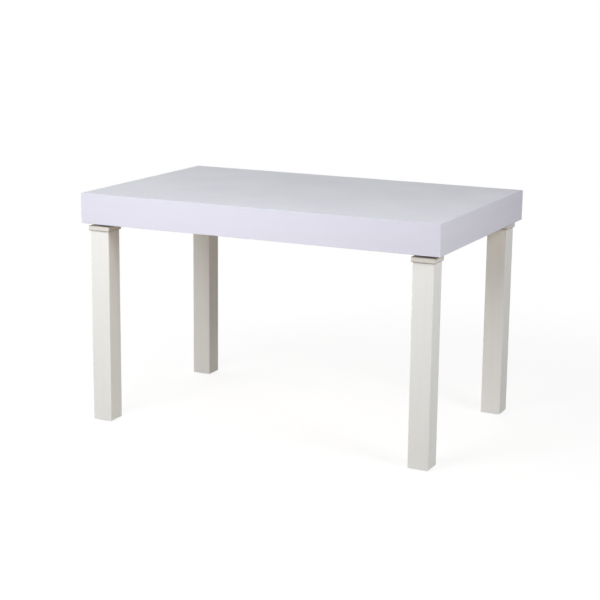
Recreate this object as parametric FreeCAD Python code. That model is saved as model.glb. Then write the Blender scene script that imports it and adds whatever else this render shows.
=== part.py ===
import FreeCAD, Part
import math
import os

from FreeCAD import Vector

# Dining table with a thick hollow-core top and four square screw-on legs.
# Millimetres, +Z up. The origin is on the floor, under the middle of the top.
# X runs along the table, and the front is on the -Y side.

# Whole table
TABLE_LENGTH = 1200.0
TABLE_WIDTH = 750.0
TABLE_HEIGHT = 740.0

# Hollow-core top: two panels on a doweled frame, filled with paper honeycomb
TOP_THICKNESS = 96.0
TOP_PANEL_THICKNESS = 8.0
BOTTOM_PANEL_THICKNESS = 5.0
EDGE_BAND_THICKNESS = 1.5
EDGE_BAND_RADIUS = 1.0
RAIL_WIDTH = 45.0
RIB_WIDTH = 30.0
RIB_COUNT = 2
CORNER_BLOCK_SIDE = 75.0
FRAME_DOWEL_DIAMETER = 8.0
FRAME_DOWEL_COVER = 15.0
DOWELS_PER_JOINT = 2
CORE_CELL_WIDTH = 64.0
CORE_WALL = 1.2
CORE_CLEARANCE = 0.5

# Legs and the collars on their upper ends
LEG_SIDE = 66.0
LEG_EDGE_RADIUS = 3.0
LEG_FOOT_CHAMFER = 1.5
LEG_INSET_FROM_END = 23.0
LEG_INSET_FROM_SIDE = 15.0
COLLAR_OVERHANG = 4.5
COLLAR_HEIGHT = 15.0
COLLAR_CORNER_RADIUS = 3.5
COLLAR_UPPER_CHAMFER = 1.2
COLLAR_LOWER_CHAMFER = 0.5
COLLAR_DOWEL_DIAMETER = 6.0
COLLAR_DOWEL_FROM_LEG_FACE = 13.0
COLLAR_DOWEL_COVER = 4.0
COLLAR_DOWEL_DEPTH = 14.0

# Stamped leg plates, with a dished boss that the leg screws up against
PLATE_SIDE = 66.0
PLATE_GAUGE = 2.5
PLATE_CORNER_RADIUS = 7.0
PLATE_HOLE_FROM_EDGE = 9.0
BOSS_FROM_EDGE = 10.0
BOSS_SLOPE_RUN = 8.0
BOSS_BEND_RADIUS = 1.2
NECK_WALL = 2.5
NECK_CLEARANCE = 1.0

# Pan-head screws that hold the plates
SCREW_DIAMETER = 4.0
SCREW_LENGTH = 25.0
SCREW_POINT_LENGTH = 5.0
SCREW_HEAD_DIAMETER = 8.0
SCREW_HEAD_HEIGHT = 2.4
SCREW_HEAD_RIM = 0.7
SCREW_HEAD_ROOM = 3.1

# Hanger bolts: a machine thread in the boss and a wood thread in the leg
BOLT_DIAMETER = 8.0
BOLT_WAIST_DIAMETER = 6.8
BOLT_WAIST_LENGTH = 6.0
BOLT_DEPTH_IN_LEG = 48.0
BOLT_POINT_LENGTH = 9.0
BOLT_END_CHAMFER = 1.0
BOLT_END_CLEARANCE = 0.6

# Levelling feet: a stud in a barbed insert, on a hexagonal pad
STUD_DIAMETER = 8.0
STUD_LENGTH = 36.0
STUD_END_CHAMFER = 1.0
STUD_END_ROOM = 6.0
STUD_SIDE_ROOM = 1.0
INSERT_LENGTH = 20.0
INSERT_WALL = 2.0
INSERT_BARB_HEIGHT = 0.6
INSERT_BARB_COUNT = 4
PAD_ACROSS_FLATS = 30.0
PAD_CORNER_TRIM = 1.6
PAD_HEIGHT = 4.0
PAD_FLOOR = 1.5
PAD_EDGE_RADIUS = 0.9

# Clearances
FASTENER_CLEARANCE = 0.1
HOLE_END_CLEARANCE = 1.0

# Levels that several pieces share
BOSS_DEPTH = SCREW_HEAD_HEIGHT + SCREW_HEAD_ROOM
LEG_STANDOFF = PLATE_GAUGE + BOSS_DEPTH
UNDERSIDE = TABLE_HEIGHT - TOP_THICKNESS
FRAME_BOTTOM = UNDERSIDE + BOTTOM_PANEL_THICKNESS
FRAME_TOP = TABLE_HEIGHT - TOP_PANEL_THICKNESS
FRAME_HEIGHT = FRAME_TOP - FRAME_BOTTOM
COLLAR_TOP = UNDERSIDE - LEG_STANDOFF
LEG_TOP = COLLAR_TOP - COLLAR_HEIGHT
LEG_BOTTOM = PAD_HEIGHT

# Half sizes of the top, inside the edge bands and inside the frame
HALF_LENGTH = TABLE_LENGTH / 2
HALF_WIDTH = TABLE_WIDTH / 2
PANEL_X = HALF_LENGTH - EDGE_BAND_THICKNESS
PANEL_Y = HALF_WIDTH - EDGE_BAND_THICKNESS
INNER_X = PANEL_X - RAIL_WIDTH
INNER_Y = PANEL_Y - RAIL_WIDTH

# Each corner's name, with its side along X and along Y
CORNERS = {
    "front_left": (-1, -1),
    "front_right": (1, -1),
    "rear_left": (-1, 1),
    "rear_right": (1, 1),
}

SAME_PLACE = 1e-6
UP = Vector(0, 0, 1)


def block(x0, x1, y0, y1, z0, z1):
    """Box between two opposite corners."""
    return Part.makeBox(x1 - x0, y1 - y0, z1 - z0, Vector(x0, y0, z0))


def rod(diameter, start, length, direction=UP):
    """Plain round rod, also used to bore holes."""
    return Part.makeCylinder(diameter / 2, length, start, direction)


def dowel(diameter, start, length, direction):
    """Wooden dowel with both ends chamfered."""
    pin = rod(diameter, start, length, direction)
    ends = [edge for edge in pin.Edges if isinstance(edge.Curve, Part.Circle)]
    return pin.makeChamfer(diameter / 8, ends)


def turned(profile):
    """Solid of revolution about Z from a closed outline of (radius, height) points."""
    points = [Vector(radius, 0, height) for radius, height in profile]
    outline = Part.makePolygon(points + points[:1])
    return Part.Face(outline).revolve(Vector(), UP, 360)


def hexagon(across_flats, centre, z0, height):
    """Hexagonal prism with two of its corners on the X axis."""
    radius = across_flats / math.sqrt(3)
    turns = [math.radians(60 * i) for i in range(6)]
    points = [centre + Vector(radius * math.cos(a), radius * math.sin(a), z0) for a in turns]
    return Part.Face(Part.makePolygon(points + points[:1])).extrude(Vector(0, 0, height))


def edges_along(shape, direction):
    """Straight edges of a shape that run along a direction."""
    straight = [edge for edge in shape.Edges if isinstance(edge.Curve, Part.Line)]
    return [edge for edge in straight if abs(abs(edge.Curve.Direction * direction) - 1) < SAME_PLACE]


def edges_at(shape, level):
    """Edges of a shape that lie flat at one height."""
    return [
        edge for edge in shape.Edges
        if abs(edge.BoundBox.ZMin - level) < SAME_PLACE and abs(edge.BoundBox.ZMax - level) < SAME_PLACE
    ]


def square_post(side, z0, z1, corner_radius):
    """Upright square post about the Z axis with rounded arrises."""
    half = side / 2
    post = block(-half, half, -half, half, z0, z1)
    return post.makeFillet(corner_radius, edges_along(post, UP))


def leg_centre(corner):
    """Point on the floor under a leg's axis."""
    side_x, side_y = CORNERS[corner]
    return Vector(
        side_x * (HALF_LENGTH - LEG_INSET_FROM_END - LEG_SIDE / 2),
        side_y * (HALF_WIDTH - LEG_INSET_FROM_SIDE - LEG_SIDE / 2),
        0,
    )


def at_corner(shape, corner):
    """Copy of a piece that is modelled about the Z axis, moved to a leg's axis."""
    return shape.translated(leg_centre(corner))


def plate_hole_offsets():
    """Offsets of a leg plate's four screw holes from the leg's axis."""
    reach = PLATE_SIDE / 2 - PLATE_HOLE_FROM_EDGE
    return [Vector(side_x * reach, side_y * reach, 0) for side_x, side_y in CORNERS.values()]


def plate_screw():
    """Pan-head wood screw on the Z axis, driven up through a plate under the top."""
    seat = UNDERSIDE - PLATE_GAUGE
    head = SCREW_HEAD_DIAMETER / 2
    shank = SCREW_DIAMETER / 2
    tip = seat + SCREW_LENGTH
    rim = Vector(head, 0, seat - SCREW_HEAD_RIM)
    crown = Vector(0, 0, seat - SCREW_HEAD_HEIGHT)
    dome = SCREW_HEAD_HEIGHT - SCREW_HEAD_RIM
    sphere = (head ** 2 + dome ** 2) / (2 * dome)
    half_angle = math.asin(min(head / sphere, 1)) / 2
    middle = Vector(
        sphere * math.sin(half_angle),
        0,
        crown.z + sphere * (1 - math.cos(half_angle)),
    )
    shaft = [
        rim,
        Vector(head, 0, seat),
        Vector(shank, 0, seat),
        Vector(shank, 0, tip - SCREW_POINT_LENGTH),
        Vector(0, 0, tip),
        crown,
    ]
    edges = [Part.Arc(crown, middle, rim).toShape()] + Part.makePolygon(shaft).Edges
    return Part.Face(Part.Wire(edges)).revolve(Vector(), UP, 360)


def plate_screw_places():
    """Every plate screw's place, for all four legs."""
    return [leg_centre(corner) + offset for corner in CORNERS for offset in plate_hole_offsets()]


def screw_pilot_holes():
    """Pilot holes of all plate screws, cut from whatever they pass through."""
    seat = UNDERSIDE - PLATE_GAUGE
    diameter = SCREW_DIAMETER + 2 * FASTENER_CLEARANCE
    length = SCREW_LENGTH + HOLE_END_CLEARANCE
    return Part.makeCompound(
        [rod(diameter, place + Vector(0, 0, seat), length) for place in plate_screw_places()]
    )


def rib_positions():
    """X of each cross rib's middle, which divides the frame into equal bays."""
    bay = (2 * INNER_X - RIB_COUNT * RIB_WIDTH) / (RIB_COUNT + 1)
    first = -INNER_X + bay + RIB_WIDTH / 2
    return [first + i * (bay + RIB_WIDTH) for i in range(RIB_COUNT)]


def frame_dowel_places():
    """Start point of every frame dowel, which crosses a joint along Y."""
    end_rail_x = INNER_X + RAIL_WIDTH / 2
    columns = [-end_rail_x] + rib_positions() + [end_rail_x]
    depth = RAIL_WIDTH - FRAME_DOWEL_COVER
    step = FRAME_HEIGHT / DOWELS_PER_JOINT
    levels = [FRAME_BOTTOM + step * (i + 0.5) for i in range(DOWELS_PER_JOINT)]
    return [
        Vector(x, side * INNER_Y - depth, z)
        for x in columns for side in (-1, 1) for z in levels
    ]


def frame_dowels():
    """Dowels of the frame's butt joints, half in the long rail and half in the cross member."""
    length = 2 * (RAIL_WIDTH - FRAME_DOWEL_COVER)
    along_y = Vector(0, 1, 0)
    return [dowel(FRAME_DOWEL_DIAMETER, place, length, along_y) for place in frame_dowel_places()]


def frame_dowel_holes():
    """Holes of the frame dowels, a little wider and deeper than the dowels."""
    diameter = FRAME_DOWEL_DIAMETER + 2 * FASTENER_CLEARANCE
    length = 2 * (RAIL_WIDTH - FRAME_DOWEL_COVER + HOLE_END_CLEARANCE)
    back = Vector(0, HOLE_END_CLEARANCE, 0)
    along_y = Vector(0, 1, 0)
    return Part.makeCompound(
        [rod(diameter, place - back, length, along_y) for place in frame_dowel_places()]
    )


def frame_members():
    """Rails and cross ribs of the frame, bored for dowels and screws."""
    members = {
        "front_rail": block(-PANEL_X, PANEL_X, -PANEL_Y, -INNER_Y, FRAME_BOTTOM, FRAME_TOP),
        "rear_rail": block(-PANEL_X, PANEL_X, INNER_Y, PANEL_Y, FRAME_BOTTOM, FRAME_TOP),
        "left_rail": block(-PANEL_X, -INNER_X, -INNER_Y, INNER_Y, FRAME_BOTTOM, FRAME_TOP),
        "right_rail": block(INNER_X, PANEL_X, -INNER_Y, INNER_Y, FRAME_BOTTOM, FRAME_TOP),
    }
    half_rib = RIB_WIDTH / 2
    for i, x in enumerate(rib_positions(), start=1):
        members[f"cross_rib_{i}"] = block(
            x - half_rib, x + half_rib, -INNER_Y, INNER_Y, FRAME_BOTTOM, FRAME_TOP
        )
    dowel_holes = frame_dowel_holes()
    pilot_holes = screw_pilot_holes()
    return {name: shape.cut(dowel_holes).cut(pilot_holes) for name, shape in members.items()}


def corner_blanks(clearance):
    """Square blocks in the frame's corners, each grown by a clearance on its inner sides."""
    side = CORNER_BLOCK_SIDE + clearance
    blanks = {}
    for corner, (side_x, side_y) in CORNERS.items():
        xs = sorted((side_x * INNER_X, side_x * (INNER_X - side)))
        ys = sorted((side_y * INNER_Y, side_y * (INNER_Y - side)))
        blanks[corner] = block(*xs, *ys, FRAME_BOTTOM, FRAME_TOP)
    return blanks


def honeycomb(x0, x1):
    """Sheet of paper honeycomb that fills one bay of the frame round its corner blocks."""
    y0 = -INNER_Y + CORE_CLEARANCE
    y1 = INNER_Y - CORE_CLEARANCE
    sheet = block(x0, x1, y0, y1, FRAME_BOTTOM, FRAME_TOP)
    sheet = sheet.cut(Part.makeCompound(list(corner_blanks(CORE_CLEARANCE).values())))
    row_step = CORE_CELL_WIDTH * math.sqrt(3) / 2
    columns = math.ceil((x1 - x0) / row_step / 2) + 1
    rows = math.ceil((y1 - y0) / CORE_CELL_WIDTH / 2) + 1
    middle = Vector((x0 + x1) / 2, (y0 + y1) / 2, 0)
    cells = []
    for i in range(-columns, columns + 1):
        shift = CORE_CELL_WIDTH / 2 if i % 2 else 0
        for j in range(-rows, rows + 1):
            centre = middle + Vector(i * row_step, j * CORE_CELL_WIDTH + shift, 0)
            cells.append(hexagon(CORE_CELL_WIDTH - CORE_WALL, centre, FRAME_BOTTOM, FRAME_HEIGHT))
    walls = sheet.cut(Part.makeCompound(cells))
    return max(walls.Solids, key=lambda solid: solid.Volume)


def core_sheets():
    """One honeycomb sheet for each bay between the end rails and the ribs."""
    half_rib = RIB_WIDTH / 2
    ribs = rib_positions()
    starts = [-INNER_X] + [x + half_rib for x in ribs]
    ends = [x - half_rib for x in ribs] + [INNER_X]
    bays = enumerate(zip(starts, ends), start=1)
    return {
        f"core_sheet_{i}": honeycomb(start + CORE_CLEARANCE, end - CORE_CLEARANCE)
        for i, (start, end) in bays
    }


def long_edge_band(side):
    """Edge band on the front (-1) or rear (1), with all its outer arrises rounded."""
    outer = side * HALF_WIDTH
    ys = sorted((outer, side * PANEL_Y))
    band = block(-HALF_LENGTH, HALF_LENGTH, *ys, UNDERSIDE, TABLE_HEIGHT)
    arrises = [
        edge for edge in band.Edges
        if abs(edge.BoundBox.YMin - outer) < SAME_PLACE and abs(edge.BoundBox.YMax - outer) < SAME_PLACE
    ]
    return band.makeFillet(min(EDGE_BAND_RADIUS, EDGE_BAND_THICKNESS * 0.8), arrises)


def end_edge_band(side):
    """Edge band on the left (-1) or right (1) end, between the long bands."""
    outer = side * HALF_LENGTH
    xs = sorted((outer, side * PANEL_X))
    band = block(*xs, -PANEL_Y, PANEL_Y, UNDERSIDE, TABLE_HEIGHT)
    arrises = [
        edge for edge in edges_along(band, Vector(0, 1, 0))
        if abs(edge.BoundBox.XMin - outer) < SAME_PLACE or abs(edge.BoundBox.XMax - outer) < SAME_PLACE
    ]
    return band.makeFillet(min(EDGE_BAND_RADIUS, EDGE_BAND_THICKNESS * 0.8), arrises)


def table_top():
    """Panels, frame, core, blocks and edge bands of the top."""
    pilot_holes = screw_pilot_holes()
    bottom = block(-PANEL_X, PANEL_X, -PANEL_Y, PANEL_Y, UNDERSIDE, FRAME_BOTTOM)
    pieces = {
        "top_panel": block(-PANEL_X, PANEL_X, -PANEL_Y, PANEL_Y, FRAME_TOP, TABLE_HEIGHT),
        "bottom_panel": bottom.cut(pilot_holes),
        "front_edge_band": long_edge_band(-1),
        "rear_edge_band": long_edge_band(1),
        "left_edge_band": end_edge_band(-1),
        "right_edge_band": end_edge_band(1),
        "frame_dowels": Part.makeCompound(frame_dowels()),
    }
    pieces.update(frame_members())
    pieces.update(core_sheets())
    for corner, blank in corner_blanks(0).items():
        pieces[f"corner_block_{corner}"] = blank.cut(pilot_holes)
    return pieces


def leg_plate():
    """Stamped steel plate with a dished boss, a drawn thread neck and four screw holes."""
    half = PLATE_SIDE / 2
    flange_face = UNDERSIDE - PLATE_GAUGE
    boss_base = half - BOSS_FROM_EDGE
    boss_top = boss_base - BOSS_SLOPE_RUN
    bore = BOLT_DIAMETER / 2 + FASTENER_CLEARANCE
    neck = bore + NECK_WALL
    neck_end = UNDERSIDE - NECK_CLEARANCE
    dish_floor = COLLAR_TOP + PLATE_GAUGE
    flange = square_post(PLATE_SIDE, flange_face, UNDERSIDE, PLATE_CORNER_RADIUS)
    boss = Part.makeCone(boss_top, boss_base, BOSS_DEPTH, Vector(0, 0, COLLAR_TOP))
    pressing = flange.fuse(boss)
    bends = edges_at(pressing, COLLAR_TOP)
    bends += [edge for edge in edges_at(pressing, flange_face) if isinstance(edge.Curve, Part.Circle)
              and abs(edge.Curve.Radius - boss_base) < SAME_PLACE]
    pressing = pressing.makeFillet(BOSS_BEND_RADIUS, bends)
    dish = turned([
        (neck, neck_end),
        (neck, dish_floor),
        (boss_top, dish_floor),
        (boss_base, UNDERSIDE),
        (0, UNDERSIDE),
        (0, neck_end),
    ])
    pressing = pressing.cut(dish)
    hole_diameter = SCREW_DIAMETER + 2 * FASTENER_CLEARANCE
    holes = [rod(2 * bore, Vector(0, 0, COLLAR_TOP), LEG_STANDOFF)]
    for offset in plate_hole_offsets():
        holes.append(rod(hole_diameter, offset + Vector(0, 0, flange_face), PLATE_GAUGE))
    return pressing.cut(Part.makeCompound(holes))


def hanger_bolt():
    """Bolt with a machine thread end upward and a pointed wood thread end downward."""
    radius = BOLT_DIAMETER / 2
    waist = BOLT_WAIST_DIAMETER / 2
    top = UNDERSIDE - BOLT_END_CLEARANCE
    waist_top = LEG_TOP + BOLT_WAIST_LENGTH / 2
    waist_bottom = waist_top - BOLT_WAIST_LENGTH
    tip = LEG_TOP - BOLT_DEPTH_IN_LEG
    return turned([
        (0, top),
        (radius - BOLT_END_CHAMFER, top),
        (radius, top - BOLT_END_CHAMFER),
        (radius, waist_top),
        (waist, waist_top),
        (waist, waist_bottom),
        (radius, waist_bottom),
        (radius, tip + BOLT_POINT_LENGTH),
        (0, tip),
    ])


def bolt_hole(z0, z1):
    """Bore for the hanger bolt between two heights."""
    return rod(BOLT_DIAMETER + 2 * FASTENER_CLEARANCE, Vector(0, 0, z0), z1 - z0)


def collar_dowel_starts():
    """Lower end of each dowel that keeps a collar square on its leg."""
    reach = LEG_SIDE / 2 - COLLAR_DOWEL_FROM_LEG_FACE
    return [Vector(side * reach, 0, LEG_TOP - COLLAR_DOWEL_DEPTH) for side in (-1, 1)]


def collar_dowel_length():
    """Full length of a collar dowel, from its seat in the leg to its end in the collar."""
    return COLLAR_DOWEL_DEPTH + COLLAR_HEIGHT - COLLAR_DOWEL_COVER


def collar_dowel_holes():
    """Dowel holes that a collar and its leg share."""
    diameter = COLLAR_DOWEL_DIAMETER + 2 * FASTENER_CLEARANCE
    length = collar_dowel_length() + HOLE_END_CLEARANCE
    down = Vector(0, 0, HOLE_END_CLEARANCE / 2)
    return Part.makeCompound([rod(diameter, start - down, length) for start in collar_dowel_starts()])


def collar():
    """Square collar on a leg's upper end, wider than the leg all round, so that it shades the leg below."""
    side = LEG_SIDE + 2 * COLLAR_OVERHANG
    plate = square_post(side, LEG_TOP, COLLAR_TOP, COLLAR_CORNER_RADIUS)
    plate = plate.makeChamfer(COLLAR_UPPER_CHAMFER, edges_at(plate, COLLAR_TOP))
    plate = plate.makeChamfer(COLLAR_LOWER_CHAMFER, edges_at(plate, LEG_TOP))
    return plate.cut(bolt_hole(LEG_TOP, COLLAR_TOP)).cut(collar_dowel_holes())


def insert_radius():
    """Radius of the foot insert at the roots of its barbs."""
    return STUD_DIAMETER / 2 + FASTENER_CLEARANCE + INSERT_WALL


def leg():
    """Square leg, bored for its bolt and dowels above and for its foot insert below."""
    post = square_post(LEG_SIDE, LEG_BOTTOM, LEG_TOP, LEG_EDGE_RADIUS)
    post = post.makeChamfer(LEG_FOOT_CHAMFER, edges_at(post, LEG_BOTTOM))
    bolt_end = LEG_TOP - BOLT_DEPTH_IN_LEG - HOLE_END_CLEARANCE
    socket = 2 * (insert_radius() + INSERT_BARB_HEIGHT + FASTENER_CLEARANCE)
    foot = Vector(0, 0, LEG_BOTTOM)
    stud_bore = STUD_DIAMETER + 2 * STUD_SIDE_ROOM
    stud_room = STUD_LENGTH + STUD_END_ROOM
    holes = [
        bolt_hole(bolt_end, LEG_TOP),
        rod(socket, foot, INSERT_LENGTH),
        rod(stud_bore, foot, stud_room),
        collar_dowel_holes(),
    ]
    return post.cut(Part.makeCompound(holes))


def foot_insert():
    """Threaded insert whose saw-tooth barbs hold it in the end of a leg."""
    root = insert_radius()
    barb = root + INSERT_BARB_HEIGHT
    step = INSERT_LENGTH / INSERT_BARB_COUNT
    profile = [(STUD_DIAMETER / 2 + FASTENER_CLEARANCE, LEG_BOTTOM + INSERT_LENGTH)]
    profile.append((STUD_DIAMETER / 2 + FASTENER_CLEARANCE, LEG_BOTTOM))
    for i in range(INSERT_BARB_COUNT):
        base = LEG_BOTTOM + i * step
        profile.append((barb, base))
        profile.append((root, base + step))
    return turned(profile)


def leveller_stud():
    """Threaded stud of a levelling foot, moulded into its pad."""
    radius = STUD_DIAMETER / 2
    top = LEG_BOTTOM + STUD_LENGTH
    return turned([
        (0, PAD_FLOOR),
        (radius, PAD_FLOOR),
        (radius, top - STUD_END_CHAMFER),
        (radius - STUD_END_CHAMFER, top),
        (0, top),
    ])


def leveller_pad():
    """Hexagonal pad that turns with its stud, with trimmed corners and soft rims."""
    disc = rod(2 * (PAD_ACROSS_FLATS / math.sqrt(3) - PAD_CORNER_TRIM), Vector(), PAD_HEIGHT)
    pad = hexagon(PAD_ACROSS_FLATS, Vector(), 0, PAD_HEIGHT).common(disc)
    pad = pad.makeFillet(min(PAD_EDGE_RADIUS, PAD_HEIGHT * 0.4), edges_at(pad, 0))
    return pad.cut(rod(STUD_DIAMETER, Vector(0, 0, PAD_FLOOR), PAD_HEIGHT))


def legs_and_feet():
    """Leg plates, bolts, collars, legs and levelling feet at the four corners."""
    per_corner = {
        "leg_plate": leg_plate(),
        "hanger_bolt": hanger_bolt(),
        "leg_collar": collar(),
        "leg": leg(),
        "foot_insert": foot_insert(),
        "leveller_stud": leveller_stud(),
        "leveller_pad": leveller_pad(),
    }
    pieces = {
        f"{name}_{corner}": at_corner(shape, corner)
        for name, shape in per_corner.items() for corner in CORNERS
    }
    screw = plate_screw()
    pieces["plate_screws"] = Part.makeCompound(
        [screw.translated(place) for place in plate_screw_places()]
    )
    length = collar_dowel_length()
    pins = [dowel(COLLAR_DOWEL_DIAMETER, start, length, UP) for start in collar_dowel_starts()]
    pieces["collar_dowels"] = Part.makeCompound(
        [at_corner(pin, corner) for corner in CORNERS for pin in pins]
    )
    return pieces


os.makedirs("parts", exist_ok=True)
for node, shape in {**table_top(), **legs_and_feet()}.items():
    shape.exportStep(f"parts/{node}.step")
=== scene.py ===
"""Looks of the dining table: finishes, threaded hardware, studio light and camera."""
import logging
import math
from collections.abc import Callable
from dataclasses import dataclass, replace
from enum import Enum

import bmesh
import bpy
from mathutils import Matrix, Vector


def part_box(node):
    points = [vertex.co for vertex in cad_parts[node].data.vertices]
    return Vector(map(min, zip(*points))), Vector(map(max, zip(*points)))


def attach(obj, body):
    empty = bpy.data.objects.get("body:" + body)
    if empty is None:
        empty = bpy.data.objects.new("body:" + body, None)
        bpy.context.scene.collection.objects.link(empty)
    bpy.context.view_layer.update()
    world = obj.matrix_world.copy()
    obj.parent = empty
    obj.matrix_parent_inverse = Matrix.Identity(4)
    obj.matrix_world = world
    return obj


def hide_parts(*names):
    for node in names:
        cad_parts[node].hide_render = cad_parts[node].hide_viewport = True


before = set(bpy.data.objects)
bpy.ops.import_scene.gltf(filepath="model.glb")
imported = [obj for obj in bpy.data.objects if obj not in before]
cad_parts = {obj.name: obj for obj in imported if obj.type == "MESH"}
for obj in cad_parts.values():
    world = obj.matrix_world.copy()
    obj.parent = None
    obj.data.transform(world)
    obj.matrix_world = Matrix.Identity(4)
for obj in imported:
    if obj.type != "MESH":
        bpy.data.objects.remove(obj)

LOG = logging.getLogger("dining_table")
MM = 0.001
TABLE_BODY = "table"
FASTENER_SLOT = "fastener_steel"
WHITE = "#FFFFFF"
ROUND_STEPS = 24
SMOOTH_ANGLE = math.radians(35)
# Width of the end of a screw or bolt point, as a share of its base.
POINT_BLUNT = 0.06
# Length of scaled coordinate in which a wave pattern repeats.
WAVE_PERIOD = math.tau / 20
# Sockets of a Mix node's colours, which share their names with those of its numbers and vectors.
MIX_FACTOR, MIX_A, MIX_B, MIX_RESULT = 0, 6, 7, 2


class Corner(Enum):
    """The table's four corners, as node and body names end in them."""

    FRONT_LEFT = "front_left"
    FRONT_RIGHT = "front_right"
    REAR_LEFT = "rear_left"
    REAR_RIGHT = "rear_right"


class GrainAxis(Enum):
    """Way that grain or a drawn line runs, as the stretch of a pattern along it."""

    ALONG_X = (0.03, 1.0, 1.0)
    ALONG_Y = (1.0, 0.03, 1.0)
    ALONG_Z = (1.0, 1.0, 0.03)
    ROUND_THE_EDGE = (0.02, 0.02, 1.0)


def linear(hex_code: str) -> tuple[float, float, float, float]:
    """Turn an sRGB hex colour to linear RGBA.

    Args:
        hex_code: Colour as "#RRGGBB".

    Returns:
        Linear red, green and blue, and an alpha of 1.
    """
    channels = [int(hex_code[i:i + 2], 16) / 255 for i in (1, 3, 5)]
    # The sRGB curve is a short straight toe, then a power.
    red, green, blue = (c / 12.92 if c <= 0.04045 else ((c + 0.055) / 1.055) ** 2.4 for c in channels)
    return red, green, blue, 1.0


def scale_for(size_mm: float) -> float:
    """Scale of a noise or wave whose marks are about this many millimetres wide."""
    return 1.0 / (size_mm * MM)


def add_node(
    tree: bpy.types.NodeTree,
    kind: str,
    settings: dict[str, object] | None = None,
    values: dict[str | int, object] | None = None,
    links: dict[str | int, bpy.types.NodeSocket] | None = None,
) -> bpy.types.Node:
    """Add a shader node, set it and link it.

    Args:
        tree: Node tree that gets the node.
        kind: The node's type name.
        settings: Properties of the node itself.
        values: Fixed values of its input sockets, by name or number.
        links: Output sockets to link to its input sockets, by name or number.

    Returns:
        The new node.
    """
    node = tree.nodes.new(kind)
    for name, value in (settings or {}).items():
        setattr(node, name, value)
    for socket, value in (values or {}).items():
        node.inputs[socket].default_value = value
    for socket, output in (links or {}).items():
        tree.links.new(output, node.inputs[socket])
    return node


def stretched(
    tree: bpy.types.NodeTree, place: bpy.types.NodeSocket, stretch: tuple[float, float, float],
) -> bpy.types.NodeSocket:
    """Scale coordinates along each axis, so that a pattern on them is drawn out.

    Args:
        tree: Node tree that gets the scaling.
        place: Coordinates to scale.
        stretch: Scale along each axis.

    Returns:
        The scaled coordinates.
    """
    mapping = add_node(tree, "ShaderNodeMapping", values={"Scale": stretch}, links={"Vector": place})
    return mapping.outputs["Vector"]


def clouds(
    tree: bpy.types.NodeTree, place: bpy.types.NodeSocket, size_mm: float, detail: float,
) -> bpy.types.NodeSocket:
    """Draw soft, irregular patches.

    Args:
        tree: Node tree that gets the pattern.
        place: Coordinates that it is drawn on.
        size_mm: Width of a patch.
        detail: How finely the patches are broken up.

    Returns:
        A value from 0 to 1.
    """
    noise = add_node(
        tree, "ShaderNodeTexNoise",
        values={"Scale": scale_for(size_mm), "Detail": detail},
        links={"Vector": place},
    )
    return noise.outputs["Fac"]


def seen_directly(tree: bpy.types.NodeTree) -> bpy.types.NodeSocket:
    """Tell rays that show a surface, directly or mirrored, from rays that light with it.

    Args:
        tree: Node tree of the floor or the surround.

    Returns:
        1 for a camera, glossy or transmission ray, and 0 for any other.
    """
    rays = add_node(tree, "ShaderNodeLightPath")
    mirrored = add_node(
        tree, "ShaderNodeMath",
        settings={"operation": "ADD"},
        links={0: rays.outputs["Is Glossy Ray"], 1: rays.outputs["Is Transmission Ray"]},
    )
    seen = add_node(
        tree, "ShaderNodeMath",
        settings={"operation": "ADD", "use_clamp": True},
        links={0: rays.outputs["Is Camera Ray"], 1: mirrored.outputs[0]},
    )
    return seen.outputs[0]


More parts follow.
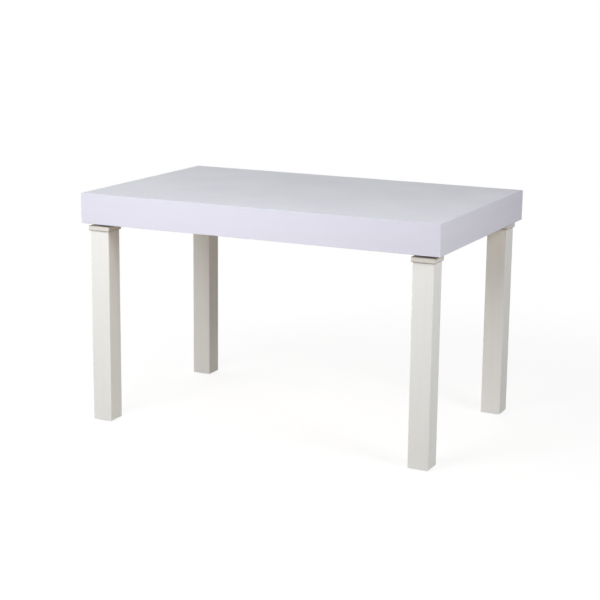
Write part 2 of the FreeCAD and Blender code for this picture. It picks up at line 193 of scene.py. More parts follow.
@dataclass(frozen=True)
class Finish:
    """A surface finish: its shader values, and patterns in two shades over it.

    Attributes:
        name: The real material and how its surface was made.
        colour: Main colour.
        shade: Colour where the marks are strongest.
        roughness: Roughness at the main colour and at the shade.
        patch_mm: Width of the marks.
        relief_mm: Width of the grains of the fine relief.
        relief_depth_mm: Height of those grains.
        metallic: 1 for bare metal.
        ior: Index of refraction.
        stretch: Scale of the pattern along each axis, where a small one draws the marks out.
        relief_stretch: The same for the fine relief.
        contrast: Strengths of the marks at which the main colour ends and the shade begins.
        detail: How finely the marks are broken up.
        relief_detail: The same for the fine relief.
    """

    name: str
    colour: str
    shade: str
    roughness: tuple[float, float]
    patch_mm: float
    relief_mm: float
    relief_depth_mm: float
    metallic: float = 0.0
    ior: float = 1.5
    stretch: tuple[float, float, float] = (1.0, 1.0, 1.0)
    relief_stretch: tuple[float, float, float] = (1.0, 1.0, 1.0)
    contrast: tuple[float, float] = (0.3, 0.7)
    detail: float = 3.0
    relief_detail: float = 2.0

    def material(self) -> bpy.types.Material:
        """Give the finish's material, which is made the first time.

        Returns:
            A material that all pieces with this finish share.
        """
        made = bpy.data.materials.get(self.name)
        if made:
            return made
        material = bpy.data.materials.new(self.name)
        material.use_nodes = True
        tree = material.node_tree
        shader = tree.nodes["Principled BSDF"]
        shader.inputs["Metallic"].default_value = self.metallic
        shader.inputs["IOR"].default_value = self.ior
        place = add_node(tree, "ShaderNodeTexCoord").outputs["Object"]
        marks = self.marks(tree, place)
        low, high = self.contrast
        share = add_node(
            tree, "ShaderNodeMapRange",
            values={"From Min": low, "From Max": high},
            links={"Value": marks},
        )
        shades = add_node(
            tree, "ShaderNodeMix",
            settings={"data_type": "RGBA"},
            values={MIX_A: linear(self.colour), MIX_B: linear(self.shade)},
            links={MIX_FACTOR: share.outputs["Result"]},
        )
        tree.links.new(shades.outputs[MIX_RESULT], shader.inputs["Base Color"])
        smooth, rough = self.roughness
        gloss = add_node(
            tree, "ShaderNodeMapRange",
            values={"From Min": low, "From Max": high, "To Min": smooth, "To Max": rough},
            links={"Value": marks},
        )
        tree.links.new(gloss.outputs["Result"], shader.inputs["Roughness"])
        bump = add_node(
            tree, "ShaderNodeBump",
            values={"Strength": 1.0, "Distance": self.relief_depth_mm * MM},
            links={"Height": self.relief(tree, place)},
        )
        tree.links.new(bump.outputs["Normal"], shader.inputs["Normal"])
        return material

    def marks(self, tree: bpy.types.NodeTree, place: bpy.types.NodeSocket) -> bpy.types.NodeSocket:
        """Draw the pattern that mixes the two shades.

        Args:
            tree: The material's node tree.
            place: Object coordinates.

        Returns:
            A value from 0 to 1.
        """
        return clouds(tree, stretched(tree, place, self.stretch), self.patch_mm, self.detail)

    def relief(self, tree: bpy.types.NodeTree, place: bpy.types.NodeSocket) -> bpy.types.NodeSocket:
        """Draw the height of the surface's fine relief.

        Args:
            tree: The material's node tree.
            place: Object coordinates.

        Returns:
            A height from 0 to 1.
        """
        drawn_out = stretched(tree, place, self.relief_stretch)
        return clouds(tree, drawn_out, self.relief_mm, self.relief_detail)


@dataclass(frozen=True)
class PlanedTimber(Finish):
    """Sawn and planed timber: growth rings cut lengthways, so that they draw long wavering lines.

    Attributes:
        waver: How far the rings waver.
        waver_scale: How quickly they do.
    """

    waver: float = 3.0
    waver_scale: float = 0.4

    def marks(self, tree: bpy.types.NodeTree, place: bpy.types.NodeSocket) -> bpy.types.NodeSocket:
        """Draw growth rings that waver along the grain.

        Args:
            tree: The material's node tree.
            place: Object coordinates.

        Returns:
            A value from 0 to 1.
        """
        rings = add_node(
            tree, "ShaderNodeTexWave",
            settings={"bands_direction": "DIAGONAL"},
            values={
                "Scale": scale_for(self.patch_mm) * WAVE_PERIOD,
                "Distortion": self.waver,
                "Detail": self.detail,
                "Detail Scale": self.waver_scale,
            },
            links={"Vector": stretched(tree, place, self.stretch)},
        )
        return rings.outputs["Fac"]


@dataclass(frozen=True)
class PaintedShadeLineFinish(Finish):
    """A finish with a painted shade line along a lower edge: the shade colour stands in for the shadow
    under an overhang.

    Attributes:
        edge_height: Height of the edge.
        line_mm: Height of the line.
        fray_mm: How far its upper side frays.
    """

    edge_height: float = 0.0
    line_mm: float = 2.5
    fray_mm: float = 1.0

    def marks(self, tree: bpy.types.NodeTree, place: bpy.types.NodeSocket) -> bpy.types.NodeSocket:
        """Draw the painted shade line along the edge, with a frayed upper side.

        Args:
            tree: The material's node tree.
            place: Object coordinates.

        Returns:
            A value from 0 to 1.
        """
        height = add_node(tree, "ShaderNodeSeparateXYZ", links={0: place})
        frayed = add_node(
            tree, "ShaderNodeMath",
            settings={"operation": "MULTIPLY_ADD"},
            values={1: self.fray_mm * MM},
            links={0: super().marks(tree, place), 2: height.outputs["Z"]},
        )
        # The painted shade fills a band just above the edge, where the overhang's shadow falls.
        top = self.edge_height + self.line_mm * MM
        line = add_node(
            tree, "ShaderNodeMapRange",
            values={"From Min": top + self.fray_mm * MM, "From Max": top},
            links={"Value": frayed.outputs[0]},
        )
        return line.outputs["Result"]


# Melamine paper pressed on fibreboard by a satin plate: even, cool white, with a pearl grain of about
# 0.3 mm that is drawn at 1.5 mm so that it shows.
TOP_MELAMINE = Finish(
    name="melamine_satin_white", colour="#EAEDF5", shade="#E8EAF3", roughness=(0.40, 0.48),
    patch_mm=140, relief_mm=1.5, relief_depth_mm=0.006,
)
# Extruded ABS edge strip: a lavender white, with faint draw lines along its length.
EDGE_STRIP = Finish(
    name="abs_edge_strip_white", colour="#E2E1EF", shade="#E0E0ED", roughness=(0.42, 0.50),
    patch_mm=14, relief_mm=1.2, relief_depth_mm=0.004,
    stretch=GrainAxis.ROUND_THE_EDGE.value, relief_stretch=GrainAxis.ROUND_THE_EDGE.value,
)
# Pressed hardboard, left bare: brown, with darker fibre bundles a few millimetres long.
BARE_HARDBOARD = Finish(
    name="hardboard_bare", colour="#BA8E50", shade="#A2783E", roughness=(0.55, 0.70),
    patch_mm=7, relief_mm=2.0, relief_depth_mm=0.03, detail=6.0,
)
# Ivory lacquer sprayed on close-grained timber: satin, a slight orange peel, and grain that barely shows.
LEG_LACQUER = Finish(
    name="lacquer_satin_ivory", colour="#F5F5F3", shade="#F2F2EF", roughness=(0.36, 0.44),
    patch_mm=9, relief_mm=2.2, relief_depth_mm=0.008,
    stretch=GrainAxis.ALONG_Z.value,
)
# The same lacquer on the collars' milled fibreboard, a shade darker than the legs, with a painted shade
# line along the lower edge that stands in for the shadow under the collar's overhang.
COLLAR_LACQUER_WITH_SHADE_LINE = PaintedShadeLineFinish(
    name="lacquer_satin_ivory_on_fibreboard_painted_shade_line", colour="#E3E0DB", shade="#B3AFA7", roughness=(0.40, 0.52),
    patch_mm=3, relief_mm=2.2, relief_depth_mm=0.008, contrast=(0.0, 1.0),
    edge_height=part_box("leg_collar_front_left")[0].z,
)
# Planed pine for the frame: pale earlywood and honey latewood.
PINE_ALONG_X = PlanedTimber(
    name="pine_planed_along_x", colour="#DDBB84", shade="#B98A4F", roughness=(0.55, 0.65),
    patch_mm=9, relief_mm=1.6, relief_depth_mm=0.04,
    stretch=GrainAxis.ALONG_X.value, relief_stretch=GrainAxis.ALONG_X.value,
)
PINE_ALONG_Y = replace(
    PINE_ALONG_X, name="pine_planed_along_y",
    stretch=GrainAxis.ALONG_Y.value, relief_stretch=GrainAxis.ALONG_Y.value,
)
# Turned beech dowels: even tan with short darker flecks.
BEECH = Finish(
    name="beech_turned", colour="#D6B284", shade="#BE9462", roughness=(0.50, 0.60),
    patch_mm=3, relief_mm=0.8, relief_depth_mm=0.03, stretch=(1.0, 0.15, 1.0),
)
# Kraft paper of the honeycomb: brown, unglazed, with long pulp fibres.
KRAFT_PAPER = Finish(
    name="kraft_paper_core", colour="#B99467", shade="#A27D52", roughness=(0.80, 0.90),
    patch_mm=4, relief_mm=1.0, relief_depth_mm=0.03, detail=5.0,
)
# Bright zinc plate on pressed and turned steel: a cold silver with faint clouding.
ZINC_PLATE = Finish(
    name="zinc_plate_bright", colour="#C9CBCC", shade="#B4B8BC", roughness=(0.22, 0.34),
    patch_mm=6, relief_mm=0.5, relief_depth_mm=0.003, metallic=1.0,
)
# Turned brass: warm yellow with fine tool lines round it.
TURNED_BRASS = Finish(
    name="brass_turned", colour="#CDA75B", shade="#BE9649", roughness=(0.24, 0.34),
    patch_mm=5, relief_mm=0.4, relief_depth_mm=0.01, metallic=1.0,
    relief_stretch=GrainAxis.ROUND_THE_EDGE.value,
)
# Natural nylon, moulded in a spark-eroded tool: milky, with a fine matt grain.
MOULDED_NYLON = Finish(
    name="nylon_natural", colour="#E6E2D6", shade="#E0DBCE", roughness=(0.48, 0.58),
    patch_mm=8, relief_mm=0.6, relief_depth_mm=0.02, ior=1.53,
)


def paint(node: str, finish: Finish) -> None:
    """Dress a CAD node with a finish.

    Args:
        node: The node's name.
        finish: Finish of all its faces.
    """
    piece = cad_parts[node]
    for slot in piece.material_slots:
        slot.material = finish.material()
    LOG.info("%s: %s", node, finish.name)


def clear_selection() -> None:
    """Leave edit mode and deselect everything."""
    if bpy.context.mode != "OBJECT":
        bpy.ops.object.mode_set(mode="OBJECT")
    bpy.ops.object.select_all(action="DESELECT")


def make_active(piece: bpy.types.Object) -> None:
    """Select one piece alone and make it the active one."""
    clear_selection()
    piece.select_set(True)
    bpy.context.view_layer.objects.active = piece


def select_points(piece: bpy.types.Object, chosen: Callable[[Vector], bool]) -> None:
    """Select points of the piece that is in edit mode by their place.

    Args:
        piece: The piece being edited.
        chosen: Test of a point's place.
    """
    bpy.ops.mesh.select_mode(type="VERT")
    mesh = bmesh.from_edit_mesh(piece.data)
    for point in mesh.verts:
        point.select_set(chosen(point.co))
    mesh.select_flush_mode()
    bmesh.update_edit_mesh(piece.data)


def select_faces(piece: bpy.types.Object, chosen: Callable[[Vector, Vector], bool]) -> None:
    """Select faces of the piece that is in edit mode by their place and normal.

    Args:
        piece: The piece being edited.
        chosen: Test of a face's middle and normal.
    """
    bpy.ops.mesh.select_mode(type="FACE")
    bpy.ops.mesh.select_all(action="DESELECT")
    mesh = bmesh.from_edit_mesh(piece.data)
    for face in mesh.faces:
        if chosen(face.calc_center_median(), face.normal):
            face.select_set(True)
    mesh.select_flush_mode()
    bmesh.update_edit_mesh(piece.data)


def apply_modifier(piece: bpy.types.Object, kind: str, **settings: object) -> None:
    """Add a modifier to a piece, set it and apply it.

    Args:
        piece: The piece that the modifier changes.
        kind: The modifier's type.
        settings: The modifier's properties.
    """
    make_active(piece)
    modifier = piece.modifiers.new(kind.lower(), kind)
    for name, value in settings.items():
        setattr(modifier, name, value)
    bpy.ops.object.modifier_apply(modifier=modifier.name)


def join(name: str, pieces: list[bpy.types.Object]) -> bpy.types.Object:
    """Join several meshes into one piece.

    Args:
        name: The joined piece's name.
        pieces: The meshes, of which the first stays.

    Returns:
        The joined piece.
    """
    make_active(pieces[0])
    for piece in pieces[1:]:
        piece.select_set(True)
    bpy.ops.object.join()
    pieces[0].name = name
    return pieces[0]


def copy_at(piece: bpy.types.Object, name: str, place: Vector) -> bpy.types.Object:
    """Copy a piece that is modelled on the Z axis to another place.

    Args:
        piece: The piece to copy.
        name: The copy's name.
        place: How far the copy's mesh moves.

    Returns:
        The copy, with its own mesh and its object at the origin.
    """
    copy = piece.copy()
    copy.data = piece.data.copy()
    copy.data.transform(Matrix.Translation(place))
    copy.name = name
    bpy.context.collection.objects.link(copy)
    return copy


def discard(piece: bpy.types.Object) -> None:
    """Remove a piece that was only a pattern for its copies, or a cutter."""
    bpy.data.objects.remove(piece)


def round_bar(radius: float, bottom: float, top: float, steps: int = ROUND_STEPS) -> bpy.types.Object:
    """Add a round bar on the Z axis, as the start of a piece.

    Args:
        radius: The bar's radius.
        bottom: Height of its lower end.
        top: Height of its upper end.
        steps: Sides of its outline.

    Returns:
        The bar.
    """
    clear_selection()
    bpy.ops.mesh.primitive_cylinder_add(
        vertices=steps, radius=radius, depth=top - bottom, location=(0, 0, (bottom + top) / 2),
    )
    bpy.ops.object.transform_apply(location=True, rotation=True, scale=True)
    return bpy.context.object


def blunt_point(name: str, radius: float, tip: float, base: float) -> bpy.types.Object:
    """Model a point at the end of a screw or bolt, with its end a little blunted.

    Args:
        name: The point's name.
        radius: Radius of its base.
        tip: Height of its end.
        base: Height of its base.

    Returns:
        The point.
    """
    piece = round_bar(radius, min(tip, base), max(tip, base))
    piece.name = name
    bpy.ops.object.mode_set(mode="EDIT")
    select_points(piece, lambda point: abs(point.z - tip) < abs(point.z - base))
    bpy.ops.transform.resize(value=(POINT_BLUNT, POINT_BLUNT, 1))
    bpy.ops.object.mode_set(mode="OBJECT")
    return piece


def seat(piece: bpy.types.Object, body: str, slot: str, finish: Finish, *nodes: str) -> None:
    """Finish a piece and let it stand for CAD nodes.

    Args:
        piece: A new piece.
        body: CAD body that it rides on.
        slot: Material slot of the record. Not used.
        finish: Finish of all its faces.
        nodes: CAD nodes that it stands for.
    """
    piece.data.materials.clear()
    piece.data.materials.append(finish.material())
    make_active(piece)
    bpy.ops.object.shade_smooth_by_angle(angle=SMOOTH_ANGLE)
    clear_selection()
    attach(piece, body)
    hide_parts(*nodes)
    LOG.info("%s: %d faces, %s", piece.name, len(piece.data.polygons), finish.name)


@dataclass(frozen=True)
class ScrewThread:
    """A right-hand thread on a round rod along Z.

    Attributes:
        major_radius: Radius of the crests.
        minor_radius: Radius of the roots.
        pitch: Rise of one turn.
        crest_share: Flat width of a crest, as a share of the pitch.
        steps: Sides of one turn.
        spare_turns: Turns wound past both ends together, which the trim takes off.
        weld_share: Gap that is closed between turns, as a share of the pitch.
    """

    major_radius: float
    minor_radius: float
    pitch: float
    crest_share: float = 0.2
    steps: int = ROUND_STEPS
    spare_turns: int = 3
    weld_share: float = 0.001

    def rod(self, name: str, bottom: float, top: float) -> bpy.types.Object:
        """Wind one tooth round the Z axis and trim the winding flat at both ends.

        Args:
            name: The rod's name.
            bottom: Height of its lower end.
            top: Height of its upper end.

        Returns:
            A closed threaded rod.
        """
        turns = math.ceil((top - bottom) / self.pitch) + self.spare_turns
        weld = self.weld_share * self.pitch
        depth = self.major_radius - self.minor_radius
        start = bottom - self.spare_turns / 2 * self.pitch
        tooth = Vector((self.minor_radius + depth / 2, 0, start))
        # An upright rectangle loses its face and its inner edge, and its outer edge shrinks to the crest.
        clear_selection()
        bpy.ops.mesh.primitive_plane_add(size=1, location=(0, 0, 0), rotation=(math.pi / 2, 0, 0))
        piece = bpy.context.object
        piece.name = name
        bpy.ops.object.transform_apply(location=True, rotation=True, scale=True)
        bpy.ops.object.mode_set(mode="EDIT")
        bpy.ops.mesh.select_all(action="SELECT")
        bpy.ops.transform.resize(value=(depth, 1, self.pitch))
        bpy.ops.transform.translate(value=tooth)
        bpy.ops.mesh.delete(type="ONLY_FACE")
        select_points(piece, lambda point: point.x < tooth.x)
        bpy.ops.mesh.delete(type="EDGE")
        select_points(piece, lambda point: point.x > tooth.x)
        bpy.ops.transform.resize(value=(1, 1, self.crest_share))
        bpy.ops.object.mode_set(mode="OBJECT")
        # The tooth is wound up the axis, and its turns are welded to each other.
        apply_modifier(
            piece, "SCREW", axis="Z", angle=math.tau, screw_offset=self.pitch, iterations=turns,
            steps=self.steps, render_steps=self.steps, use_merge_vertices=True,
            merge_threshold=weld,
        )
        bpy.ops.object.mode_set(mode="EDIT")
        bpy.ops.mesh.select_all(action="SELECT")
        bpy.ops.mesh.remove_doubles(threshold=weld)
        # Each cut closes the rod with a flat end.
        for height, way in ((bottom, -1), (top, 1)):
            bpy.ops.mesh.select_all(action="SELECT")
            bpy.ops.mesh.bisect(
                plane_co=(0, 0, height), plane_no=(0, 0, way), use_fill=True, clear_outer=True,
            )
        bpy.ops.mesh.select_all(action="SELECT")
        bpy.ops.mesh.normals_make_consistent(inside=False)
        bpy.ops.object.mode_set(mode="OBJECT")
        return piece


# Coarse metric thread of 8 mm, which bolts and studs share.
EIGHT_MM_COARSE = ScrewThread(major_radius=4.0 * MM, minor_radius=3.3 * MM, pitch=1.25 * MM)
# Thread of an 8 mm hanger bolt's wood end, and that of a 4 mm wood screw.
EIGHT_MM_WOOD = ScrewThread(major_radius=4.0 * MM, minor_radius=2.9 * MM, pitch=3.0 * MM)
FOUR_MM_WOOD = ScrewThread(major_radius=2.0 * MM, minor_radius=1.4 * MM, pitch=1.8 * MM, steps=16)


def node_axis(node: str) -> Vector:
    """Middle of a node's box, on the floor."""
    low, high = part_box(node)
    return Vector(((low.x + high.x) / 2, (low.y + high.y) / 2, 0))


@dataclass
class TableTop:
    """Hollow-core top: panels, edge bands, frame, honeycomb and dowels.

    Attributes:
        ribs: Cross ribs of the frame, with a core sheet in each bay between and beside them.
    """

    ribs: int = 2

    def dress(self) -> None:
        """Give every piece of the top its finish."""
        paint("top_panel", TOP_MELAMINE)
        paint("bottom_panel", BARE_HARDBOARD)
        for side in ("front", "rear", "left", "right"):
            paint(f"{side}_edge_band", EDGE_STRIP)
        for side in ("front", "rear"):
            paint(f"{side}_rail", PINE_ALONG_X)
        for side in ("left", "right"):
            paint(f"{side}_rail", PINE_ALONG_Y)
        for i in range(1, self.ribs + 1):
            paint(f"cross_rib_{i}", PINE_ALONG_Y)
        for i in range(1, self.ribs + 2):
            paint(f"core_sheet_{i}", KRAFT_PAPER)
        for corner in Corner:
            paint(f"corner_block_{corner.value}", PINE_ALONG_X)
        paint("frame_dowels", BEECH)


@dataclass
class Legs:
    """The four legs with their collars and dowels."""

    def dress(self) -> None:
        """Give the legs, collars and collar dowels their finish."""
        for corner in Corner:
            paint(f"leg_{corner.value}", LEG_LACQUER)
            paint(f"leg_collar_{corner.value}", COLLAR_LACQUER_WITH_SHADE_LINE)
        paint("collar_dowels", BEECH)


@dataclass
class LegPlates:
    """The four stamped plates that the legs hang on."""

    def dress(self) -> None:
        """Give the plates their finish."""
        for corner in Corner:
            paint(f"leg_plate_{corner.value}", ZINC_PLATE)


@dataclass
class PlateScrews:
    """Pan-head screws that hold the leg plates, four to a plate.

    Attributes:
        plate_gauge: Thickness of a plate.
        hole_from_edge: Distance of a hole in a plate from both edges near it.
        thread: The screws' thread.
        point_length: Length of their points.
        head_radius: Radius of a pan head.
        head_rim: Height of its straight side.
        head_steps: Sides of its outline.
        dome_steps: Rings of its dome.
        recess_reach: Length of an arm of the cross recess.
        recess_width: Width of an arm.
        recess_depth: Depth of the recess.
        recess_taper: Size of the recess at its floor, as a share of that at its mouth.
    """

    plate_gauge: float = 2.5 * MM
    hole_from_edge: float = 9.0 * MM
    thread: ScrewThread = FOUR_MM_WOOD
    point_length: float = 5.0 * MM
    head_radius: float = 4.0 * MM
    head_rim: float = 0.7 * MM
    head_steps: int = 32
    dome_steps: int = 4
    recess_reach: float = 2.2 * MM
    recess_width: float = 0.8 * MM
    recess_depth: float = 1.5 * MM
    recess_taper: float = 0.4

    def build(self) -> None:
        """Model one plate screw and copy it into every hole of every plate."""
        low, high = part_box("plate_screws")
        seat_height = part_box("bottom_panel")[0].z - self.plate_gauge
        point_base = high.z - self.point_length
        screw = join("plate_screw_pattern", [
            self.pan_head(seat_height, low.z),
            self.thread.rod("screw_shank", seat_height, point_base),
            blunt_point("screw_point", self.thread.minor_radius, high.z, point_base),
        ])
        screws = []
        for corner in Corner:
            low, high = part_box(f"leg_plate_{corner.value}")
            inset = self.hole_from_edge
            for x in (low.x + inset, high.x - inset):
                for y in (low.y + inset, high.y - inset):
                    screws.append(copy_at(screw, "plate_screw", Vector((x, y, 0))))
        discard(screw)
        piece = join("plate_screws_cross_recessed", screws)
        seat(piece, TABLE_BODY, FASTENER_SLOT, ZINC_PLATE, "plate_screws")

    def pan_head(self, seat_height: float, crown_height: float) -> bpy.types.Object:
        """Model a pan head with a cross recess, under a plate.

        Args:
            seat_height: Height of the face that bears on the plate.
            crown_height: Height of the lowest point of its dome.

        Returns:
            The head.
        """
        rim_height = seat_height - self.head_rim
        dome_height = rim_height - crown_height
        sphere_radius = (self.head_radius ** 2 + dome_height ** 2) / (2 * dome_height)
        middle = (seat_height + rim_height) / 2
        head = round_bar(self.head_radius, rim_height, seat_height, self.head_steps)
        bpy.ops.object.mode_set(mode="EDIT")
        select_points(head, lambda point: point.z < middle)
        radius = self.head_radius
        height = rim_height
        for step in range(1, self.dome_steps + 1):
            next_height = rim_height - dome_height * math.sin(math.pi / 2 * step / (self.dome_steps + 1))
            from_centre = sphere_radius - (next_height - crown_height)
            next_radius = math.sqrt(sphere_radius ** 2 - from_centre ** 2)
            bpy.ops.mesh.extrude_region_move(
                TRANSFORM_OT_translate={"value": (0, 0, next_height - height)}
            )
            share = next_radius / radius
            bpy.ops.transform.resize(value=(share, share, 1))
            radius, height = next_radius, next_height
        bpy.ops.object.mode_set(mode="OBJECT")
        self.cut_recess(head, crown_height)
        return head

    def cut_recess(self, head: bpy.types.Object, crown_height: float) -> None:
        """Cut a cross recess up into a screw head.

        Args:
            head: The head.
            crown_height: Height of the lowest point of its dome.
        """
        top = crown_height + self.recess_depth
        for turn in (0, math.pi / 2):
            clear_selection()
            bpy.ops.mesh.primitive_cube_add(
                size=1, location=(0, 0, crown_height), rotation=(0, 0, turn),
                scale=(2 * self.recess_reach, self.recess_width, 2 * self.recess_depth),
            )
            blade = bpy.context.object
            bpy.ops.object.transform_apply(location=True, rotation=True, scale=True)
            bpy.ops.object.mode_set(mode="EDIT")
            select_points(blade, lambda point: abs(point.z - top) < self.recess_depth / 2)
            bpy.ops.transform.resize(value=(self.recess_taper, self.recess_taper, 1))
            bpy.ops.object.mode_set(mode="OBJECT")
            apply_modifier(head, "BOOLEAN", operation="DIFFERENCE", object=blade, solver="EXACT")
            discard(blade)


@dataclass
class HangerBolts:
    """Hanger bolts, with a machine thread in the leg plate and a wood thread in the leg.

    Attributes:
        machine_thread: Thread in the plates.
        wood_thread: Thread in the legs.
        waist_radius: Radius of the plain waist between the two threads.
        waist_length: Length of the waist.
        point_length: Length of the points.
    """

    machine_thread: ScrewThread = EIGHT_MM_COARSE
    wood_thread: ScrewThread = EIGHT_MM_WOOD
    waist_radius: float = 3.4 * MM
    waist_length: float = 6.0 * MM
    point_length: float = 9.0 * MM

    def build(self) -> None:
        """Model one hanger bolt and copy it into every leg."""
        low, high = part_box(f"hanger_bolt_{Corner.FRONT_LEFT.value}")
        leg_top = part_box(f"leg_{Corner.FRONT_LEFT.value}")[1].z
        waist_top = leg_top + self.waist_length / 2
        waist_bottom = leg_top - self.waist_length / 2
        point_base = low.z + self.point_length
        bolt = join("hanger_bolt_pattern", [
            round_bar(self.waist_radius, waist_bottom, waist_top),
            self.machine_thread.rod("machine_end", waist_top, high.z),
            self.wood_thread.rod("wood_end", point_base, waist_bottom),
            blunt_point("bolt_point", self.wood_thread.minor_radius, low.z, point_base),
        ])
        for corner in Corner:
            node = f"hanger_bolt_{corner.value}"
            piece = copy_at(bolt, f"threaded_bolt_{corner.value}", node_axis(node))
            seat(piece, TABLE_BODY, FASTENER_SLOT, ZINC_PLATE, node)
        discard(bolt)


@dataclass
class LevellingFeet:
    """Levelling feet: threaded studs in their pads, and the inserts that they turn in.

    Attributes:
        thread: Thread of the studs.
        end_chamfer: Height of the chamfer at a stud's upper end.
        end_taper: Size of its end face, as a share of the thread's section.
        end_margin: Distance from the end within which a face counts as the end face.
        end_upright: Least upward part of that face's normal.
    """

    thread: ScrewThread = EIGHT_MM_COARSE
    end_chamfer: float = 1.0 * MM
    end_taper: float = 0.75
    end_margin: float = 0.01 * MM
    end_upright: float = 0.99

    def build(self) -> None:
        """Model the threaded studs and dress the pads and inserts."""
        low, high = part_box(f"leveller_stud_{Corner.FRONT_LEFT.value}")
        shoulder = high.z - self.end_chamfer
        stud = self.thread.rod("stud_pattern", low.z, shoulder)
        make_active(stud)
        bpy.ops.object.mode_set(mode="EDIT")
        end = shoulder - self.end_margin
        select_faces(stud, lambda middle, normal: normal.z > self.end_upright and middle.z > end)
        bpy.ops.mesh.extrude_region_move(TRANSFORM_OT_translate={"value": (0, 0, self.end_chamfer)})
        bpy.ops.transform.resize(value=(self.end_taper, self.end_taper, 1))
        bpy.ops.object.mode_set(mode="OBJECT")
        for corner in Corner:
            node = f"leveller_stud_{corner.value}"
            piece = copy_at(stud, f"threaded_stud_{corner.value}", node_axis(node))
            seat(piece, f"leveller_{corner.value}", FASTENER_SLOT, ZINC_PLATE, node)
            paint(f"leveller_pad_{corner.value}", MOULDED_NYLON)
            paint(f"foot_insert_{corner.value}", TURNED_BRASS)
        discard(stud)


@dataclass(frozen=True)
class Lamp:
    """A soft rectangular studio lamp, which lights but isn't mirrored in what it lights.

    Attributes:
        name: The lamp's name.
        place: Where it hangs.
        size: Its width and height.
        watts: Its power.
        aim: Point that it faces.
    """

    name: str
    place: tuple[float, float, float]
    size: tuple[float, float]
    watts: float
    aim: tuple[float, float, float] = (0.0, -0.2, 0.6)

    def build(self) -> None:
        """Hang the lamp and point it at its aim."""
        light = bpy.data.lights.new(self.name, "AREA")
        light.shape = "RECTANGLE"
        light.size, light.size_y = self.size
        light.energy = self.watts
        lamp = bpy.data.objects.new(self.name, light)
        bpy.context.collection.objects.link(lamp)
        lamp.location = self.place
        lamp.visible_glossy = False
        way = Vector(self.aim) - Vector(self.place)
        lamp.rotation_euler = way.to_track_quat("-Z", "Y").to_euler()
        LOG.info("%s: %.0f W", self.name, self.watts)


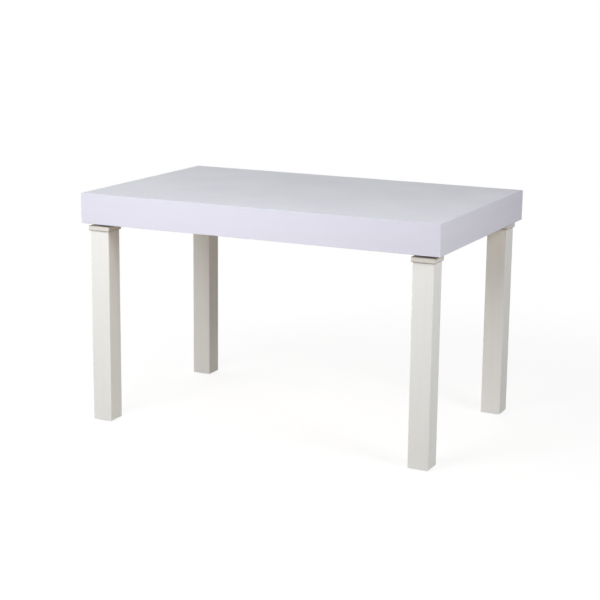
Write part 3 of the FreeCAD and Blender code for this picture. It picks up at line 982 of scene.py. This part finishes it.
@dataclass
class Studio:
    """Pale floor, soft lamps, a bright surround and the camera at the photograph's viewing angle.

    Attributes:
        floor_radius: Radius of the round floor.
        floor_steps: Sides of its outline.
        floor_colour: Colour of the light that it throws back.
        floor_glow: Brightness that it shows in full shadow.
        floor_shadow: Share of the lamps' light that it adds to that, which sets the depth of a shadow.
        fade_start: Distance from the middle at which shadows begin to fade.
        fade_end: Distance at which the floor is all white.
        surround_strength: Strength of the even light from all round.
        camera_place: Where the camera stands.
        camera_heading: Its turn to the left, from looking straight at the front.
        camera_tilt: How far it looks down.
        camera_roll: Its turn about its own line of sight.
        camera_lens_mm: Its focal length.
        camera_sensor_mm: Width of its sensor.
        lamps: The studio lamps.
    """

    floor_radius: float = 14.0
    floor_steps: int = 64
    floor_colour: str = "#CBC8C2"
    floor_glow: float = 0.85
    floor_shadow: float = 0.20
    fade_start: float = 0.9
    fade_end: float = 2.2
    surround_strength: float = 0.06
    camera_place: tuple[float, float, float] = (2.1042, -4.4484, 1.4678)
    camera_heading: float = math.radians(25.473)
    camera_tilt: float = math.radians(12.396)
    camera_roll: float = math.radians(0.624)
    camera_lens_mm: float = 93.62
    camera_sensor_mm: float = 36.0
    lamps: tuple[Lamp, ...] = (
        Lamp("key_front", (-0.4, -2.0, 1.6), (1.2, 1.2), 33.3),
        Lamp("fill_right", (2.4, -0.9, 1.8), (0.9, 0.9), 30.3),
        Lamp("side_left_high", (-2.4, 0.6, 2.0), (1.2, 1.2), 11.7),
        Lamp("side_left_low", (-2.25, -0.45, 0.48), (1.2, 1.2), 11.9),
        Lamp("back_left", (-2.4, 1.9, 1.2), (1.4, 1.4), 21.1),
        Lamp("back_low", (-1.45, 3.0, 0.9), (1.4, 1.0), 28.0, aim=(0.0, 0.3, 0.6)),
    )

    def build(self) -> None:
        """Set up the whole studio."""
        self.build_floor()
        self.build_surround()
        for lamp in self.lamps:
            lamp.build()
        self.build_camera()

    def build_floor(self) -> None:
        """Lay a round floor under the table."""
        clear_selection()
        bpy.ops.mesh.primitive_circle_add(
            vertices=self.floor_steps, radius=self.floor_radius, fill_type="NGON",
        )
        floor = bpy.context.object
        floor.name = "studio_floor"
        material = self.floor_material()
        floor.data.materials.append(material)
        LOG.info("%s: %s", floor.name, material.name)

    def floor_material(self) -> bpy.types.Material:
        """Make a matt floor that looks white and keeps the table's shadow.

        Returns:
            The floor's material.
        """
        material = bpy.data.materials.new("floor_pale_matt")
        material.use_nodes = True
        tree = material.node_tree
        tree.nodes.clear()
        matt = add_node(tree, "ShaderNodeBsdfDiffuse", values={"Color": linear(self.floor_colour)})
        shadow = self.floor_shadow
        catcher = add_node(tree, "ShaderNodeBsdfDiffuse", values={"Color": (shadow, shadow, shadow, 1)})
        glow = add_node(tree, "ShaderNodeEmission", values={"Strength": self.floor_glow})
        near = add_node(
            tree, "ShaderNodeAddShader", links={0: catcher.outputs[0], 1: glow.outputs[0]},
        )
        far = add_node(tree, "ShaderNodeEmission", values={"Strength": 1.0})
        place = add_node(tree, "ShaderNodeTexCoord").outputs["Object"]
        distance = add_node(
            tree, "ShaderNodeVectorMath", settings={"operation": "LENGTH"}, links={0: place},
        )
        fade = add_node(
            tree, "ShaderNodeMapRange",
            settings={"interpolation_type": "SMOOTHSTEP"},
            values={"From Min": self.fade_start, "From Max": self.fade_end},
            links={"Value": distance.outputs["Value"]},
        )
        white = add_node(
            tree, "ShaderNodeMixShader",
            links={0: fade.outputs["Result"], 1: near.outputs[0], 2: far.outputs[0]},
        )
        look = add_node(
            tree, "ShaderNodeMixShader",
            links={0: seen_directly(tree), 1: matt.outputs[0], 2: white.outputs[0]},
        )
        add_node(tree, "ShaderNodeOutputMaterial", links={"Surface": look.outputs[0]})
        return material

    def build_surround(self) -> None:
        """Light the studio evenly all round, with a surround that looks white."""
        world = bpy.data.worlds.new("studio_surround")
        world.use_nodes = True
        tree = world.node_tree
        tree.nodes.clear()
        light = add_node(
            tree, "ShaderNodeBackground",
            values={"Color": linear(WHITE), "Strength": self.surround_strength},
        )
        white = add_node(
            tree, "ShaderNodeBackground", values={"Color": linear(WHITE), "Strength": 1.0},
        )
        look = add_node(
            tree, "ShaderNodeMixShader",
            links={0: seen_directly(tree), 1: light.outputs[0], 2: white.outputs[0]},
        )
        add_node(tree, "ShaderNodeOutputWorld", links={"Surface": look.outputs[0]})
        bpy.context.scene.world = world

    def build_camera(self) -> None:
        """Stand the camera where the photograph was taken from."""
        heading, tilt = self.camera_heading, self.camera_tilt
        ahead = Vector((
            -math.sin(heading) * math.cos(tilt),
            math.cos(heading) * math.cos(tilt),
            -math.sin(tilt),
        ))
        right = Vector((math.cos(heading), math.sin(heading), 0))
        upward = right.cross(ahead)
        turn = Matrix((right, upward, -ahead)).transposed() @ Matrix.Rotation(self.camera_roll, 3, "Z")
        data = bpy.data.cameras.new("photo_camera")
        data.sensor_width = self.camera_sensor_mm
        data.lens = self.camera_lens_mm
        camera = bpy.data.objects.new("photo_camera", data)
        bpy.context.collection.objects.link(camera)
        camera.matrix_world = Matrix.Translation(self.camera_place) @ turn.to_4x4()
        bpy.context.scene.camera = camera
        bpy.context.scene.view_settings.view_transform = "Standard"


def main() -> None:
    """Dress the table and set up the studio."""
    logging.basicConfig(level=logging.INFO, format="%(name)s %(message)s")
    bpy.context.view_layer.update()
    TableTop().dress()
    Legs().dress()
    PlateScrews().build()
    HangerBolts().build()
    LegPlates().dress()
    LevellingFeet().build()
    Studio().build()


if __name__ == "__main__":
    main()
